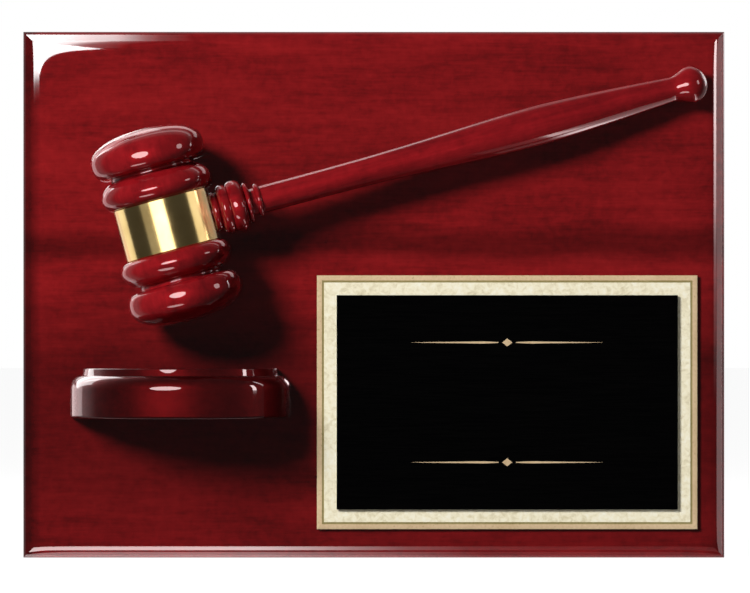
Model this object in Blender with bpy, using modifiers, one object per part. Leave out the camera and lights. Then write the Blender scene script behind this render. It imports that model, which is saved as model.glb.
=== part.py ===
"""Award plaque: a lacquered board with a turned gavel, half a sounding block and a name plate.

Lengths are in metres. The board stands upright as it hangs on a wall: X runs along its width, Z up its
height, and its front faces -Y. The origin is the middle of the board's flat back, so "depth" below means
the distance from the back towards the front.
"""

import math

import bmesh
import bpy
from mathutils import Matrix, Vector

# Fits between pieces
TOUCH_GAP = 0.0003
SCREW_CLEARANCE = 0.0003
SCREW_HEAD_CLEARANCE = 0.0008
SCREW_TIP_CLEARANCE = 0.001
TENON_CLEARANCE = 0.0003

# Board
BOARD_WIDTH = 0.3048
BOARD_HEIGHT = 0.2286
BOARD_THICKNESS = 0.019
EDGE_BEVEL = 0.004
EDGE_ROUND = 0.0012

# Places on the front, measured in from the board's edges
BLOCK_LEFT_MARGIN = 0.0206
BLOCK_BOTTOM_MARGIN = 0.0608
PLATE_RIGHT_MARGIN = 0.0119
PLATE_BOTTOM_MARGIN = 0.0125
PLATE_TO_BLOCK = 0.0113
HEAD_CENTRE_FROM_LEFT = 0.0627
HEAD_CENTRE_OVER_BLOCK = 0.0621
KNOB_CENTRE_FROM_RIGHT = 0.0148
KNOB_CENTRE_FROM_TOP = 0.023

# Sounding block, a half disc in plan
BLOCK_RADIUS = 0.0479
BLOCK_TIER_INSET = 0.0004
BLOCK_TIER_HEIGHT = 0.003
BLOCK_TIER_SLOPE = 0.0006
BLOCK_SHOULDER = 0.0048
BLOCK_SHOULDER_DROP = 0.006
BLOCK_SIDE_HEIGHT = 0.0113
BLOCK_FOOT_ROUND = 0.0012
BLOCK_SCREW_SPACING = 0.048
BLOCK_SCREW_BITE = 0.018

# Gavel head, from the middle of the band out to each domed end
BAND_WIDTH = 0.0228
BAND_RADIUS = 0.0206
BAND_WALL = 0.001
BEAD_RADIUS = 0.0245
BEAD_INNER_HALF = 0.0051
BEAD_OUTER_HALF = 0.0067
BEAD_POWER = 1.6
HEAD_NECK_RADIUS = 0.0185
HEAD_NECK_WIDTH = 0.002
HEAD_RADIUS = 0.025
HEAD_SHOULDER = 0.0066
SHOULDER_POWER = 2.6
HEAD_CROWN = 0.0112
CROWN_POWER = 2.25
HEAD_FLAT = 0.0012
HEAD_SCREW_BITE = 0.018

# Gavel handle, from its tenon in the head out to the end knob
TENON_RADIUS = 0.005
TENON_LENGTH = 0.013
FOOT_RING_RADIUS = 0.0086
FOOT_RING_LENGTH = 0.0032
INNER_BEAD_RADIUS = 0.0108
INNER_BEAD_LENGTH = 0.0048
OUTER_BEAD_RADIUS = 0.0114
OUTER_BEAD_LENGTH = 0.007
STEP_RING_RADIUS = 0.009
STEP_RING_LENGTH = 0.0026
COVE_RADIUS = 0.0058
COVE_LENGTH = 0.0019
END_RING_RADIUS = 0.0074
END_RING_LENGTH = 0.0026
RING_VALLEY_RADIUS = 0.0072
BEAD_VALLEY_RADIUS = 0.0098
SHAFT_RADIUS = 0.006
SWELL_RADIUS = 0.0088
SWELL_TO_NECK = 0.0587
SWELL_POWER = 2
TAPER_POWER = 1.4
KNOB_NECK_RADIUS = 0.0054
KNOB_NECK_TO_CENTRE = 0.0088
KNOB_RADIUS = 0.0081
KNOB_CENTRE_TO_END = 0.0069
KNOB_FLAT = 0.0006
KNOB_SCREW_BITE = 0.0085

# Name plate: a black plate on a gold one, each on its adhesive sheet
PLATE_HEIGHT = 0.1102
PLATE_BORDER = 0.0086
BORDER_PLATE_THICKNESS = 0.001
ENGRAVING_PLATE_THICKNESS = 0.0008
TAPE_THICKNESS = 0.0004
TAPE_INSET = 0.002

# Pan-head wood screws in counterbores
SCREW_RADIUS = 0.0021
SCREW_HEAD_RADIUS = 0.004
SCREW_HEAD_HEIGHT = 0.0026
SCREW_TIP_LENGTH = 0.005
PAN_HEAD_FLAT_SHARE = 0.55
KNOB_SCREW_RADIUS = 0.0015
KNOB_SCREW_HEAD_RADIUS = 0.003
COUNTERBORE_DEPTH = 0.009

# Keyhole hanger plates let into the back
HANGER_FROM_SIDE = 0.088
HANGER_FROM_TOP = 0.034
HANGER_THICKNESS = 0.0016
HANGER_RIM = 0.003
HANGER_END = 0.009
KEYHOLE_ENTRY_RADIUS = 0.005
KEYHOLE_SLOT_WIDTH = 0.005
KEYHOLE_RISE = 0.01
POCKET_DEPTH = 0.008
POCKET_SIDE = 0.001
HANGER_SCREW_RADIUS = 0.0012
HANGER_SCREW_HEAD_RADIUS = 0.0024
HANGER_SCREW_SINK = 0.0012
HANGER_SCREW_LENGTH = 0.0095
HANGER_SCREW_TIP = 0.003

# Facets
HEAD_STEPS = 44
HANDLE_STEPS = 30
BLOCK_STEPS = 80
SCREW_STEPS = 14
ARC_POINTS = 4
CROWN_POINTS = 7
SHAFT_POINTS = 9
SHARP_EDGE = math.radians(30)
AXIS_MERGE = 0.00001

# Worked out from the sizes above
FRONT_Y = -BOARD_THICKNESS
SEAT_Y = FRONT_Y - TOUCH_GAP
LEFT_X = -BOARD_WIDTH / 2
RIGHT_X = BOARD_WIDTH / 2
BOTTOM_Z = -BOARD_HEIGHT / 2
TOP_Z = BOARD_HEIGHT / 2

BLOCK_X = LEFT_X + BLOCK_LEFT_MARGIN + BLOCK_RADIUS
BLOCK_HEIGHT = BLOCK_SIDE_HEIGHT + BLOCK_FOOT_ROUND + BLOCK_SHOULDER_DROP + BLOCK_TIER_HEIGHT
BLOCK_BOTTOM_Z = BOTTOM_Z + BLOCK_BOTTOM_MARGIN
BLOCK_TOP_Z = BLOCK_BOTTOM_Z + BLOCK_HEIGHT

GROOVE_RADIUS = BAND_RADIUS - BAND_WALL - TOUCH_GAP
GROOVE_HALF = BAND_WIDTH / 2 + TOUCH_GAP
BEAD_Z = GROOVE_HALF + BEAD_INNER_HALF
NECK_START_Z = BEAD_Z + BEAD_OUTER_HALF
NECK_END_Z = NECK_START_Z + HEAD_NECK_WIDTH
WIDEST_Z = NECK_END_Z + HEAD_SHOULDER
HEAD_END_Z = WIDEST_Z + HEAD_CROWN

HEAD_CENTRE = Vector((
    LEFT_X + HEAD_CENTRE_FROM_LEFT,
    SEAT_Y - (HEAD_RADIUS - HEAD_FLAT),
    BLOCK_TOP_Z + HEAD_CENTRE_OVER_BLOCK,
))
KNOB_CENTRE = Vector((
    RIGHT_X - KNOB_CENTRE_FROM_RIGHT,
    SEAT_Y - (KNOB_RADIUS - KNOB_FLAT),
    TOP_Z - KNOB_CENTRE_FROM_TOP,
))
HANDLE_VECTOR = KNOB_CENTRE - HEAD_CENTRE
GAVEL_TURN = math.atan2(HANDLE_VECTOR.z, HANDLE_VECTOR.x)
HEAD_AXIS = Vector((-math.sin(GAVEL_TURN), 0, math.cos(GAVEL_TURN)))
HEAD_SCREW_OFFSET = HEAD_AXIS * WIDEST_Z

PLATE_LEFT_X = BLOCK_X + BLOCK_RADIUS + PLATE_TO_BLOCK
PLATE_WIDTH = RIGHT_X - PLATE_RIGHT_MARGIN - PLATE_LEFT_X
PLATE_X = PLATE_LEFT_X + PLATE_WIDTH / 2
PLATE_Z = BOTTOM_Z + PLATE_BOTTOM_MARGIN + PLATE_HEIGHT / 2

HANGER_HALF_HEIGHT = KEYHOLE_RISE / 2 + KEYHOLE_ENTRY_RADIUS + HANGER_END
HANGER_HALF_WIDTH = KEYHOLE_ENTRY_RADIUS + HANGER_RIM
HANGER_Z = TOP_Z - HANGER_FROM_TOP
HANGER_BACK = TOUCH_GAP
HANGER_FRONT = HANGER_BACK + HANGER_THICKNESS
HANGER_PLACES = {"left": LEFT_X + HANGER_FROM_SIDE, "right": RIGHT_X - HANGER_FROM_SIDE}
HANGER_SCREW_PLACES = {"top": 1, "bottom": -1}
HANGER_SCREW_RISE = HANGER_HALF_HEIGHT - HANGER_END / 2

# Turns a piece modelled along +Z to point from the board's back to its front
TO_FRONT = (math.pi / 2, 0, 0)


def clear_scene():
    for obj in list(bpy.data.objects):
        bpy.data.objects.remove(obj, do_unlink=True)


def collection(name):
    made = bpy.data.collections.new(name)
    bpy.context.scene.collection.children.link(made)
    return made


def material(name, colour, roughness, metallic=0.0):
    made = bpy.data.materials.new(name)
    made.use_nodes = True
    shader = made.node_tree.nodes["Principled BSDF"]
    shader.inputs["Base Color"].default_value = (*colour, 1)
    shader.inputs["Roughness"].default_value = roughness
    shader.inputs["Metallic"].default_value = metallic
    return made


clear_scene()
PARTS = collection("gavel_plaque")
CUTTERS = collection("gavel_plaque_cutters")
GAVEL_FRAME = bpy.data.objects.new("gavel_frame", None)
HANDLE_FRAME = bpy.data.objects.new("handle_frame", None)


def place_gavel_frames():
    """The gavel's empty has Z along the head. The handle's has Z along the handle."""
    for empty in (GAVEL_FRAME, HANDLE_FRAME):
        PARTS.objects.link(empty)
    GAVEL_FRAME.matrix_world = Matrix.Translation(HEAD_CENTRE) @ Matrix.Rotation(-GAVEL_TURN, 4, "Y")
    turn = HANDLE_VECTOR.to_track_quat("Z", "Y").to_matrix().to_4x4()
    HANDLE_FRAME.matrix_world = Matrix.Translation(HEAD_CENTRE) @ turn


def add_object(name, mesh, look, parent):
    """A part if it has a look, and otherwise a hidden cutter."""
    obj = bpy.data.objects.new(name, mesh)
    if look:
        mesh.materials.append(look)
        PARTS.objects.link(obj)
    else:
        CUTTERS.objects.link(obj)
        obj.hide_render = True
        obj.display_type = "WIRE"
    obj.parent = parent
    return obj


def mesh_from(bm, name):
    mesh = bpy.data.meshes.new(name)
    bm.to_mesh(mesh)
    bm.free()
    return mesh


def box(name, low, high, look=None, bevelled=None):
    """A box between two corners. Edges that bevelled picks out carry a bevel weight."""
    bm = bmesh.new()
    bmesh.ops.create_cube(bm, size=1)
    low, high = Vector(low), Vector(high)
    bmesh.ops.scale(bm, vec=high - low, verts=bm.verts)
    bmesh.ops.translate(bm, vec=(low + high) / 2, verts=bm.verts)
    if bevelled:
        weight = bm.edges.layers.float.new("bevel_weight_edge")
        for edge in bm.edges:
            edge[weight] = float(bevelled(edge))
    return add_object(name, mesh_from(bm, name), look, None)


def turned(name, profile, steps, look=None, parent=None, ring=False):
    """A profile of (radius, height) points, top to bottom down its outer side, turned about Z."""
    bm = bmesh.new()
    points = [bm.verts.new((radius, 0, height)) for radius, height in profile]
    followers = points[1:] + points[:1] if ring else points[1:]
    for first, second in zip(points, followers):
        bm.edges.new((first, second))
    obj = add_object(name, mesh_from(bm, name), look, parent)
    screw = obj.modifiers.new("turning", "SCREW")
    screw.steps = screw.render_steps = steps
    screw.use_merge_vertices = True
    screw.merge_threshold = AXIS_MERGE
    screw.use_smooth_shade = True
    return obj


def cylinder(name, radius, start, end, parent=None, steps=SCREW_STEPS):
    """A cutter along Z from start to end."""
    return turned(name, [(0, end), (radius, end), (radius, start), (0, start)], steps, parent=parent)


def cut(target, cutter):
    modifier = target.modifiers.new(cutter.name, "BOOLEAN")
    modifier.operation = "DIFFERENCE"
    modifier.solver = "EXACT"
    modifier.object = cutter


def bevel(obj, width, segments, limit):
    modifier = obj.modifiers.new("edge", "BEVEL")
    modifier.width = width
    modifier.segments = segments
    modifier.limit_method = limit
    modifier.angle_limit = SHARP_EDGE


def point_to_front(obj, x, z):
    obj.location = (x, 0, z)
    obj.rotation_euler = TO_FRONT


def quarter(start, end, count, radial_start, power=2.0):
    """The points after start on a quarter of a superellipse to end, both (radius, height).

    It leaves start along the radius and reaches end along the height, or the other way round.
    """
    points = []
    for step in range(1, count + 1):
        angle = math.pi / 2 * step / count
        rising = math.sin(angle) ** (2 / power)
        falling = math.cos(angle) ** (2 / power) if step < count else 0
        radius_share, height_share = (rising, 1 - falling) if radial_start else (1 - falling, rising)
        points.append((
            start[0] + (end[0] - start[0]) * radius_share,
            start[1] + (end[1] - start[1]) * height_share,
        ))
    return points


def smooth(share):
    """Goes from 0 to 1, level at both ends."""
    return share * share * (3 - 2 * share)


def ease(start, end, count):
    """The points after start on a smooth S to end that leaves and arrives along the height."""
    points = []
    for step in range(1, count + 1):
        share = step / count
        radius = start[0] + (end[0] - start[0]) * smooth(share)
        points.append((radius, start[1] + (end[1] - start[1]) * share))
    return points


def bead(top, bottom, radius):
    """The points after top on a round bead down to bottom, as wide as radius at its middle."""
    middle = (radius, (top[1] + bottom[1]) / 2)
    return quarter(top, middle, ARC_POINTS, True) + quarter(middle, bottom, ARC_POINTS, False)


def make_seat_cutter():
    """Everything behind the front face: it mills the flats that rest on the board."""
    reach = BOARD_WIDTH + BOARD_HEIGHT
    back = BOARD_THICKNESS + HEAD_RADIUS + BLOCK_RADIUS
    return box("seat_cutter", (-reach, SEAT_Y, -reach), (reach, back, reach))


def make_board(look):
    def front_rim(edge):
        return all(vert.co.y < FRONT_Y / 2 for vert in edge.verts)

    board = box("plaque_board", (LEFT_X, FRONT_Y, BOTTOM_Z), (RIGHT_X, 0, TOP_Z), look, front_rim)
    bevel(board, EDGE_BEVEL, 1, "WEIGHT")
    bevel(board, EDGE_ROUND, 2, "ANGLE")
    return board


def head_profile():
    upper = [(0, HEAD_END_Z)]
    upper += quarter(upper[-1], (HEAD_RADIUS, WIDEST_Z), CROWN_POINTS, True, CROWN_POWER)
    upper += quarter(upper[-1], (HEAD_NECK_RADIUS, NECK_END_Z), ARC_POINTS, False, SHOULDER_POWER)
    upper.append((HEAD_NECK_RADIUS, NECK_START_Z))
    upper += quarter(upper[-1], (BEAD_RADIUS, BEAD_Z), ARC_POINTS, True, BEAD_POWER)
    upper += quarter(upper[-1], (GROOVE_RADIUS, GROOVE_HALF), ARC_POINTS, False)
    return upper + [(radius, -height) for radius, height in reversed(upper)]


def make_head(look, seat_cutter):
    head = turned("gavel_head", head_profile(), HEAD_STEPS, look, GAVEL_FRAME)
    cut(head, seat_cutter)
    socket_end = BAND_RADIUS - TENON_LENGTH - TENON_CLEARANCE
    socket = cylinder("socket_cutter", TENON_RADIUS + TENON_CLEARANCE, socket_end,
                      BAND_RADIUS + TENON_LENGTH, HANDLE_FRAME, HANDLE_STEPS)
    cut(head, socket)
    return head, socket


def make_band(look, socket):
    half = BAND_WIDTH / 2
    inner = BAND_RADIUS - BAND_WALL
    profile = [(BAND_RADIUS, half), (BAND_RADIUS, -half), (inner, -half), (inner, half)]
    band = turned("gavel_band", profile, HEAD_STEPS, look, GAVEL_FRAME, ring=True)
    cut(band, socket)


def shaft_radius(height, start, neck):
    """Slender by the head, swelling towards the hand and narrowing to the knob's neck."""
    widest = neck - SWELL_TO_NECK
    if height < widest:
        share = (height - start) / (widest - start)
        return SHAFT_RADIUS + (SWELL_RADIUS - SHAFT_RADIUS) * smooth(share) ** SWELL_POWER
    share = (height - widest) / SWELL_TO_NECK
    return SWELL_RADIUS + (KNOB_NECK_RADIUS - SWELL_RADIUS) * share ** TAPER_POWER


def handle_profile():
    """Heights are distances from the head's middle along the handle."""
    foot = BAND_RADIUS + TOUCH_GAP
    inner_bead = foot + FOOT_RING_LENGTH
    outer_bead = inner_bead + INNER_BEAD_LENGTH
    step_ring = outer_bead + OUTER_BEAD_LENGTH
    cove = step_ring + STEP_RING_LENGTH
    end_ring = cove + COVE_LENGTH
    shaft = end_ring + END_RING_LENGTH
    knob = HANDLE_VECTOR.length
    neck = knob - KNOB_NECK_TO_CENTRE
    swell = neck - SWELL_TO_NECK

    points = [(0, knob + KNOB_CENTRE_TO_END)]
    points += quarter(points[-1], (KNOB_RADIUS, knob), CROWN_POINTS, True)
    points += ease(points[-1], (KNOB_NECK_RADIUS, neck), CROWN_POINTS)
    for top, bottom in ((neck, swell), (swell, shaft)):
        for step in range(1, SHAFT_POINTS + 1):
            height = top + (bottom - top) * step / SHAFT_POINTS
            points.append((shaft_radius(height, shaft, neck), height))
    points += bead(points[-1], (COVE_RADIUS, end_ring), END_RING_RADIUS)
    points.append((COVE_RADIUS, cove))
    points += bead(points[-1], (RING_VALLEY_RADIUS, step_ring), STEP_RING_RADIUS)
    points += bead(points[-1], (BEAD_VALLEY_RADIUS, outer_bead), OUTER_BEAD_RADIUS)
    points += bead(points[-1], (RING_VALLEY_RADIUS, inner_bead), INNER_BEAD_RADIUS)
    points += bead(points[-1], (RING_VALLEY_RADIUS, foot), FOOT_RING_RADIUS)
    tenon_end = BAND_RADIUS - TENON_LENGTH
    return points + [(TENON_RADIUS, foot), (TENON_RADIUS, tenon_end), (0, tenon_end)]


def make_handle(look, seat_cutter):
    handle = turned("gavel_handle", handle_profile(), HANDLE_STEPS, look, HANDLE_FRAME)
    cut(handle, seat_cutter)
    return handle


def make_block(look, seat_cutter):
    tier_radius = BLOCK_RADIUS - BLOCK_SHOULDER - BLOCK_TIER_INSET
    shoulder_radius = BLOCK_RADIUS - BLOCK_SHOULDER
    shoulder_z = BLOCK_HEIGHT - BLOCK_TIER_HEIGHT
    points = [(0, BLOCK_HEIGHT), (tier_radius - BLOCK_TIER_SLOPE, BLOCK_HEIGHT)]
    points += [(tier_radius, shoulder_z), (shoulder_radius, shoulder_z)]
    points += quarter(points[-1], (BLOCK_RADIUS, shoulder_z - BLOCK_SHOULDER_DROP), ARC_POINTS, True)
    points.append((BLOCK_RADIUS, BLOCK_FOOT_ROUND))
    points += quarter(points[-1], (BLOCK_RADIUS - BLOCK_FOOT_ROUND, 0), ARC_POINTS, False)
    points.append((0, 0))
    block = turned("sound_block", points, BLOCK_STEPS, look)
    block.location = (BLOCK_X, FRONT_Y, BLOCK_BOTTOM_Z)
    cut(block, seat_cutter)
    return block


def sheet(name, margin, back_y, thickness, look):
    """A flat sheet set in by margin from the name plate's outline. Returns its front."""
    half_width = PLATE_WIDTH / 2 - margin
    half_height = PLATE_HEIGHT / 2 - margin
    front_y = back_y - thickness
    box(name, (PLATE_X - half_width, front_y, PLATE_Z - half_height),
        (PLATE_X + half_width, back_y, PLATE_Z + half_height), look)
    return front_y


def make_name_plate(gold, black, adhesive):
    layers = (
        ("border_tape", TAPE_INSET, TAPE_THICKNESS, adhesive),
        ("border_plate", 0, BORDER_PLATE_THICKNESS, gold),
        ("engraving_tape", PLATE_BORDER + TAPE_INSET, TAPE_THICKNESS, adhesive),
        ("engraving_plate", PLATE_BORDER, ENGRAVING_PLATE_THICKNESS, black),
    )
    front_y = FRONT_Y
    for name, margin, thickness, look in layers:
        front_y = sheet(name, margin, front_y - TOUCH_GAP, thickness, look)


def fasten(name, board, held, place, radius, head_radius, bite, look):
    """A screw from a counterbore in the back, through the board and into the piece held in front."""
    x, z = place
    seat = COUNTERBORE_DEPTH - TOUCH_GAP
    tip = BOARD_THICKNESS + TOUCH_GAP + bite
    head_flat = head_radius * PAN_HEAD_FLAT_SHARE
    profile = [(0, tip), (radius, tip - SCREW_TIP_LENGTH), (radius, seat), (head_radius, seat)]
    profile += quarter(profile[-1], (head_flat, seat - SCREW_HEAD_HEIGHT), ARC_POINTS, False)
    profile.append((0, seat - SCREW_HEAD_HEIGHT))
    screw = turned(name, profile, SCREW_STEPS, look)

    hole = radius + SCREW_CLEARANCE
    counterbore = head_radius + SCREW_HEAD_CLEARANCE
    stepped = [(0, tip), (hole, tip), (hole, COUNTERBORE_DEPTH), (counterbore, COUNTERBORE_DEPTH),
               (counterbore, -COUNTERBORE_DEPTH), (0, -COUNTERBORE_DEPTH)]
    board_cutter = turned(name + "_hole_cutter", stepped, SCREW_STEPS)
    pilot_cutter = cylinder(name + "_pilot_cutter", hole, COUNTERBORE_DEPTH, tip + SCREW_TIP_CLEARANCE)
    for obj in (screw, board_cutter, pilot_cutter):
        point_to_front(obj, x, z)
    cut(board, board_cutter)
    cut(held, pilot_cutter)


def make_screws(board, head, handle, block, steel):
    for name, sign in (("head_screw_upper", 1), ("head_screw_lower", -1)):
        spot = HEAD_CENTRE + HEAD_SCREW_OFFSET * sign
        fasten(name, board, head, (spot.x, spot.z), SCREW_RADIUS, SCREW_HEAD_RADIUS, HEAD_SCREW_BITE, steel)
    fasten("knob_screw", board, handle, (KNOB_CENTRE.x, KNOB_CENTRE.z),
           KNOB_SCREW_RADIUS, KNOB_SCREW_HEAD_RADIUS, KNOB_SCREW_BITE, steel)
    block_z = BLOCK_BOTTOM_Z + BLOCK_HEIGHT / 2
    for name, sign in (("block_screw_left", -1), ("block_screw_right", 1)):
        place = (BLOCK_X + sign * BLOCK_SCREW_SPACING / 2, block_z)
        fasten(name, board, block, place, SCREW_RADIUS, SCREW_HEAD_RADIUS, BLOCK_SCREW_BITE, steel)


def hanger_box(name, x, half_width, half_height, start, end, look=None):
    """A box centred on a hanger, from one depth to another."""
    return box(name, (x - half_width, -end, HANGER_Z - half_height),
               (x + half_width, -start, HANGER_Z + half_height), look)


def make_hanger_plate(side, x, look):
    """The plate lies flush in the back, its keyhole entry below and its slot above."""
    plate = hanger_box(f"hanger_plate_{side}", x, HANGER_HALF_WIDTH, HANGER_HALF_HEIGHT,
                       HANGER_BACK, HANGER_FRONT, look)
    entry_z = HANGER_Z - KEYHOLE_RISE / 2
    slot_end_z = HANGER_Z + KEYHOLE_RISE / 2
    slot_half = KEYHOLE_SLOT_WIDTH / 2
    past_plate = HANGER_FRONT + HANGER_THICKNESS
    for part, radius, z in (("entry", KEYHOLE_ENTRY_RADIUS, entry_z), ("slot_end", slot_half, slot_end_z)):
        hole = cylinder(f"{part}_cutter_{side}", radius, -past_plate, past_plate, steps=HANDLE_STEPS)
        point_to_front(hole, x, z)
        cut(plate, hole)
    slot = box(f"slot_cutter_{side}", (x - slot_half, -past_plate, entry_z),
               (x + slot_half, past_plate, slot_end_z))
    cut(plate, slot)
    return plate


def make_hanger_screw(name, board, plate, x, z, look):
    """A countersunk screw, flush with the plate, and its holes in plate and board."""
    radius = HANGER_SCREW_RADIUS
    head = HANGER_SCREW_HEAD_RADIUS
    tip = HANGER_BACK + HANGER_SCREW_LENGTH
    neck = HANGER_BACK + HANGER_SCREW_SINK
    profile = [(0, tip), (radius, tip - HANGER_SCREW_TIP), (radius, neck)]
    profile += [(head, HANGER_BACK), (0, HANGER_BACK)]
    screw = turned(name, profile, SCREW_STEPS, look)

    hole = radius + SCREW_CLEARANCE
    sink = head + SCREW_CLEARANCE
    mouth = sink + sink - hole
    mouth_depth = HANGER_BACK - HANGER_SCREW_SINK
    sunk = [(0, tip), (hole, tip), (hole, neck), (mouth, mouth_depth), (0, mouth_depth)]
    plate_cutter = turned(name + "_sink_cutter", sunk, SCREW_STEPS)
    pilot_cutter = cylinder(name + "_pilot_cutter", hole, 0, tip + SCREW_TIP_CLEARANCE)
    for obj in (screw, plate_cutter, pilot_cutter):
        point_to_front(obj, x, z)
    cut(plate, plate_cutter)
    cut(board, pilot_cutter)


def make_hangers(board, look):
    recess_depth = HANGER_FRONT + TOUCH_GAP
    pocket_half_width = KEYHOLE_ENTRY_RADIUS + POCKET_SIDE
    pocket_half_height = KEYHOLE_RISE / 2 + pocket_half_width
    for side, x in HANGER_PLACES.items():
        recess = hanger_box(f"recess_cutter_{side}", x, HANGER_HALF_WIDTH + TOUCH_GAP,
                            HANGER_HALF_HEIGHT + TOUCH_GAP, -recess_depth, recess_depth)
        pocket = hanger_box(f"pocket_cutter_{side}", x, pocket_half_width, pocket_half_height,
                            -recess_depth, recess_depth + POCKET_DEPTH)
        cut(board, recess)
        cut(board, pocket)
        plate = make_hanger_plate(side, x, look)
        for end, sign in HANGER_SCREW_PLACES.items():
            z = HANGER_Z + sign * HANGER_SCREW_RISE
            make_hanger_screw(f"hanger_screw_{side}_{end}", board, plate, x, z, look)


def main():
    rosewood = material("rosewood_lacquer", (0.16, 0.008, 0.012), 0.06)
    turned_wood = material("turned_rosewood", (0.13, 0.006, 0.01), 0.08)
    brass = material("polished_brass", (0.72, 0.55, 0.22), 0.12, 1.0)
    gold = material("florentine_gold", (0.75, 0.66, 0.38), 0.35, 1.0)
    black = material("black_lacquer", (0.006, 0.006, 0.006), 0.3)
    adhesive = material("adhesive_sheet", (0.75, 0.73, 0.68), 0.7)
    steel = material("zinc_steel", (0.62, 0.62, 0.6), 0.35, 1.0)

    place_gavel_frames()
    seat_cutter = make_seat_cutter()
    board = make_board(rosewood)
    head, socket = make_head(turned_wood, seat_cutter)
    make_band(brass, socket)
    handle = make_handle(turned_wood, seat_cutter)
    block = make_block(turned_wood, seat_cutter)
    make_name_plate(gold, black, adhesive)
    make_screws(board, head, handle, block, steel)
    make_hangers(board, steel)


main()
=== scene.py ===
"""Looks of the gavel plaque: fine surfaces, finishes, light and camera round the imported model.

Lengths are in metres. The board stands upright with its front towards -Y and its back at y = 0.
"""

import math

import bmesh
import bpy
from mathutils import Matrix, Vector


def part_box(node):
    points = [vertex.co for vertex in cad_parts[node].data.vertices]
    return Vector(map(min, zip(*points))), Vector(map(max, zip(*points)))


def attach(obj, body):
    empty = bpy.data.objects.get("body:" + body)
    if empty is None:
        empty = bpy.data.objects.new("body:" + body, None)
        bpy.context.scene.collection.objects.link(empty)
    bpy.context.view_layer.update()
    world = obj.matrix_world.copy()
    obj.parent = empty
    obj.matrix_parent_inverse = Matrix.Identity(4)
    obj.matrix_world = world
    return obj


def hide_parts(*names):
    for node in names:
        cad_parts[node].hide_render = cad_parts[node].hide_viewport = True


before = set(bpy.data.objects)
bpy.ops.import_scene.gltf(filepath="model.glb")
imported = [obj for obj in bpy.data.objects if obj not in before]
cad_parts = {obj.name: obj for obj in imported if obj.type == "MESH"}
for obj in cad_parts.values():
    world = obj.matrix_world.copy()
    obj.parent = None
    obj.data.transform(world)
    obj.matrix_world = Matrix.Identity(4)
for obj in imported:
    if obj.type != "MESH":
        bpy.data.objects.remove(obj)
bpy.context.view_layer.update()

# Photograph
FRAME_WIDTH_PX = 750
FRAME_HEIGHT_PX = 593
PLAQUE_CENTRE_PX = (373.8, 294.75)
METRES_PER_PX = 0.0004347
SENSOR = 0.036
LENS = 0.5
CAMERA_REACH = 100

# Board
EDGE_BEVEL = 0.0046
FACE_ROUND = 0.0019
SIDE_ROUND = 0.002
BACK_ROUND = 0.0006
PILLOW_TILT = math.radians(5)
PILLOW_REACH = 0.005
PILLOW_GRID = 0.03
PILLOW_LINES = 14
FACE_LINES = 12
ROUND_POINTS = 10

# The veneer's figure, and the darker lower part of the board
VEIN_WANDER = 0.004
VEIN_HEIGHT = 0.022
VEIN_HALF_WIDTH = 0.009
VEIN_CORE = 0.0027
VEIN_TONE = 0.52
# How much darker the colour is over the lower part of the board, and the heights where that comes in and
# eases off
DARK_TONE = 0.5
DARK_TOP = (-0.03, 0.003)
DARK_BOTTOM = (-0.075, -0.13)
END_STAIN_LEFT = 0.32
END_STAIN_RIGHT = 0.85
END_STAIN_REACH = 0.0078
END_STAIN_FULL = 0.003

# Sounding block
BLOCK_TIER_INSET = 0.0004
BLOCK_TIER_HEIGHT = 0.003
BLOCK_TIER_SLOPE = 0.0006
BLOCK_SHOULDER = 0.0048
BLOCK_SHOULDER_DROP = 0.006
BLOCK_FOOT_ROUND = 0.0012
BLOCK_EDGE_ROUND = 0.0003
BLOCK_TOP_MARGIN = 0.0004
BLOCK_TOP_THICKNESS = 0.0005
BLOCK_TOP_GAP = 0.00002

# Gavel head
BAND_WIDTH = 0.0228
BAND_RADIUS = 0.0206
BAND_WALL = 0.001
BAND_EDGE_ROUND = 0.0004
BEAD_RADIUS = 0.0245
BEAD_INNER_HALF = 0.0051
BEAD_OUTER_HALF = 0.0067
BEAD_POWER = 1.6
HEAD_NECK_RADIUS = 0.0185
HEAD_NECK_WIDTH = 0.002
HEAD_NECK_DEPTH = 0.0006
HEAD_RADIUS = 0.025
HEAD_SHOULDER = 0.0066
SHOULDER_POWER = 2.6
HEAD_CROWN = 0.0112
CROWN_POWER = 2.25

# Gavel handle
TENON_RADIUS = 0.005
TENON_LENGTH = 0.013
FOOT_RING_RADIUS = 0.0086
FOOT_RING_LENGTH = 0.0032
INNER_BEAD_RADIUS = 0.0108
INNER_BEAD_LENGTH = 0.0048
OUTER_BEAD_RADIUS = 0.0114
OUTER_BEAD_LENGTH = 0.007
STEP_RING_RADIUS = 0.009
STEP_RING_LENGTH = 0.0026
COVE_RADIUS = 0.0058
COVE_LENGTH = 0.0019
END_RING_RADIUS = 0.0074
END_RING_LENGTH = 0.0026
RING_VALLEY_RADIUS = 0.0072
BEAD_VALLEY_RADIUS = 0.0098
SHAFT_RADIUS = 0.006
SWELL_RADIUS = 0.0088
SWELL_TO_NECK = 0.0587
SWELL_POWER = 2
TAPER_POWER = 1.4
KNOB_NECK_RADIUS = 0.0054
KNOB_NECK_TO_CENTRE = 0.0088
KNOB_RADIUS = 0.0081
KNOB_CENTRE_TO_END = 0.0069
KNOB_FLAT = 0.0006

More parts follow.
